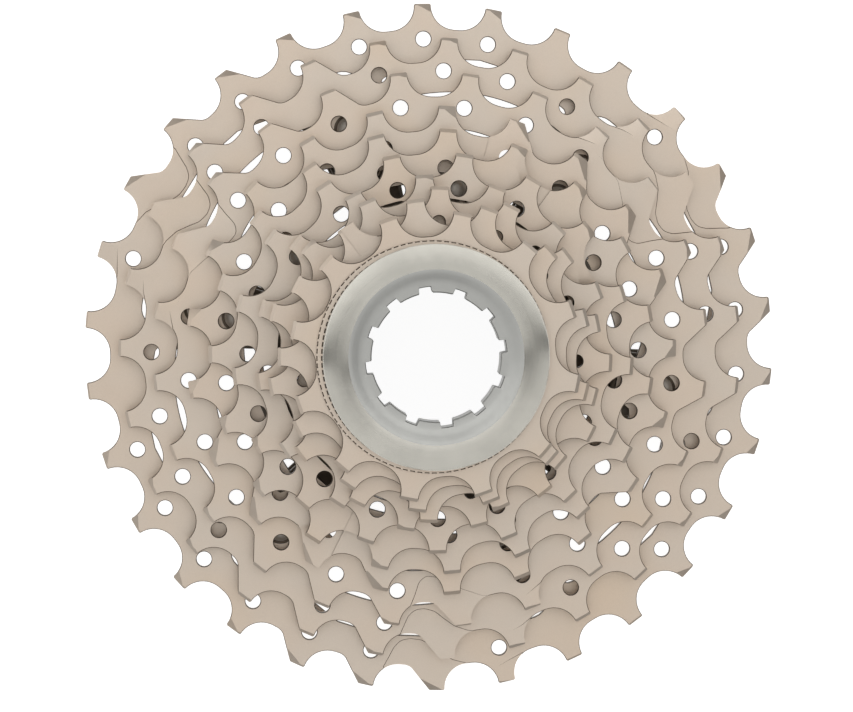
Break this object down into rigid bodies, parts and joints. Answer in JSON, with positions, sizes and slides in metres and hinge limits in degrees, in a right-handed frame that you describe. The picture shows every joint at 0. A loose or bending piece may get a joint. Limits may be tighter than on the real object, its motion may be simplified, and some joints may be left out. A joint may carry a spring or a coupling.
{
  "type": "bicycle cassette sprocket",
  "caption": "Bicycle cassette: a cone of toothed sprockets, riveted on spiders or stacked with spacers, held by a splined screw-in lockring.",
  "frame": {"origin": "on the wheel axle's line, at the back face of the large spider's hub, which the part stands on", "axes": "+Z along the axle, from the largest sprocket to the lockring; +X is right and +Y is up when the lockring side is seen with the teeth placed as built"},
  "size_m": [0.1224, 0.1226, 0.0407],
  "materials": {
    "sprocket_steel": "satin nickel plate on stamped steel, fine matt grain",
    "carrier_alloy": "satin anodised spider",
    "rivet_steel": "plain",
    "spacer_resin": "matt moulded resin",
    "washer_steel": "plain, serrated edge",
    "lockring_alloy": "grey anodised, turned face"
  },
  "bodies": {
    "large_unit": {"carrier_large": "carrier_alloy", "sprocket_30t": "sprocket_steel", "sprocket_27t": "sprocket_steel", "sprocket_24t": "sprocket_steel", "rivet_30t_1": "rivet_steel", "rivet_30t_2": "rivet_steel", "rivet_30t_3": "rivet_steel", "rivet_30t_4": "rivet_steel", "rivet_30t_5": "rivet_steel", "rivet_30t_6": "rivet_steel", "rivet_30t_7": "rivet_steel", "rivet_30t_8": "rivet_steel", "rivet_30t_9": "rivet_steel", "rivet_30t_10": "rivet_steel", "rivet_30t_11": "rivet_steel", "rivet_30t_12": "rivet_steel", "rivet_27t_1": "rivet_steel", "rivet_27t_2": "rivet_steel", "rivet_27t_3": "rivet_steel", "rivet_27t_4": "rivet_steel", "rivet_27t_5": "rivet_steel", "rivet_27t_6": "rivet_steel", "rivet_24t_1": "rivet_steel", "rivet_24t_2": "rivet_steel", "rivet_24t_3": "rivet_steel", "rivet_24t_4": "rivet_steel", "rivet_24t_5": "rivet_steel", "rivet_24t_6": "rivet_steel"},
    "mid_unit": {"carrier_mid": "carrier_alloy", "sprocket_21t": "sprocket_steel", "sprocket_19t": "sprocket_steel", "rivet_21t_1": "rivet_steel", "rivet_21t_2": "rivet_steel", "rivet_21t_3": "rivet_steel", "rivet_21t_4": "rivet_steel", "rivet_21t_5": "rivet_steel", "rivet_21t_6": "rivet_steel"},
    "spacer_17_19": {"spacer_17_19": "spacer_resin"},
    "sprocket_17": {"sprocket_17t": "sprocket_steel"},
    "spacer_15_17": {"spacer_15_17": "spacer_resin"},
    "sprocket_15": {"sprocket_15t": "sprocket_steel"},
    "spacer_14_15": {"spacer_14_15": "spacer_resin"},
    "sprocket_14": {"sprocket_14t": "sprocket_steel"},
    "sprocket_13": {"sprocket_13t": "sprocket_steel"},
    "sprocket_12": {"sprocket_12t": "sprocket_steel"},
    "washer": {"lockring_washer": "washer_steel"},
    "lockring": {"lockring": "lockring_alloy"}
  },
  "joints": [
    {"name": "mid_unit_slide", "type": "slide", "parent": "large_unit", "child": "mid_unit", "axis": [0, 0, 1], "range_m": [0, 0.01]},
    {"name": "spacer_17_19_slide", "type": "slide", "parent": "mid_unit", "child": "spacer_17_19", "axis": [0, 0, 1], "range_m": [0, 0.006]},
    {"name": "sprocket_17_slide", "type": "slide", "parent": "spacer_17_19", "child": "sprocket_17", "axis": [0, 0, 1], "range_m": [0, 0.01]},
    {"name": "spacer_15_17_slide", "type": "slide", "parent": "sprocket_17", "child": "spacer_15_17", "axis": [0, 0, 1], "range_m": [0, 0.006]},
    {"name": "sprocket_15_slide", "type": "slide", "parent": "spacer_15_17", "child": "sprocket_15", "axis": [0, 0, 1], "range_m": [0, 0.01]},
    {"name": "spacer_14_15_slide", "type": "slide", "parent": "sprocket_15", "child": "spacer_14_15", "axis": [0, 0, 1], "range_m": [0, 0.006]},
    {"name": "sprocket_14_slide", "type": "slide", "parent": "spacer_14_15", "child": "sprocket_14", "axis": [0, 0, 1], "range_m": [0, 0.01]},
    {"name": "sprocket_13_slide", "type": "slide", "parent": "sprocket_14", "child": "sprocket_13", "axis": [0, 0, 1], "range_m": [0, 0.01]},
    {"name": "sprocket_12_slide", "type": "slide", "parent": "sprocket_13", "child": "sprocket_12", "axis": [0, 0, 1], "range_m": [0, 0.01]},
    {"name": "lockring_travel", "type": "slide", "parent": "sprocket_12", "child": "washer", "axis": [0, 0, 1], "range_m": [0, 0.0064]},
    {"name": "lockring_turn", "type": "hinge", "parent": "washer", "child": "lockring", "pos_m": [0, 0, 0.0391], "axis": [0, 0, 1], "range_deg": [0, 2160]}
  ],
  "couplings": [
    {"joint": "lockring_travel", "follows": "lockring_turn", "m_per_rad": 0.00016844}
  ]
}
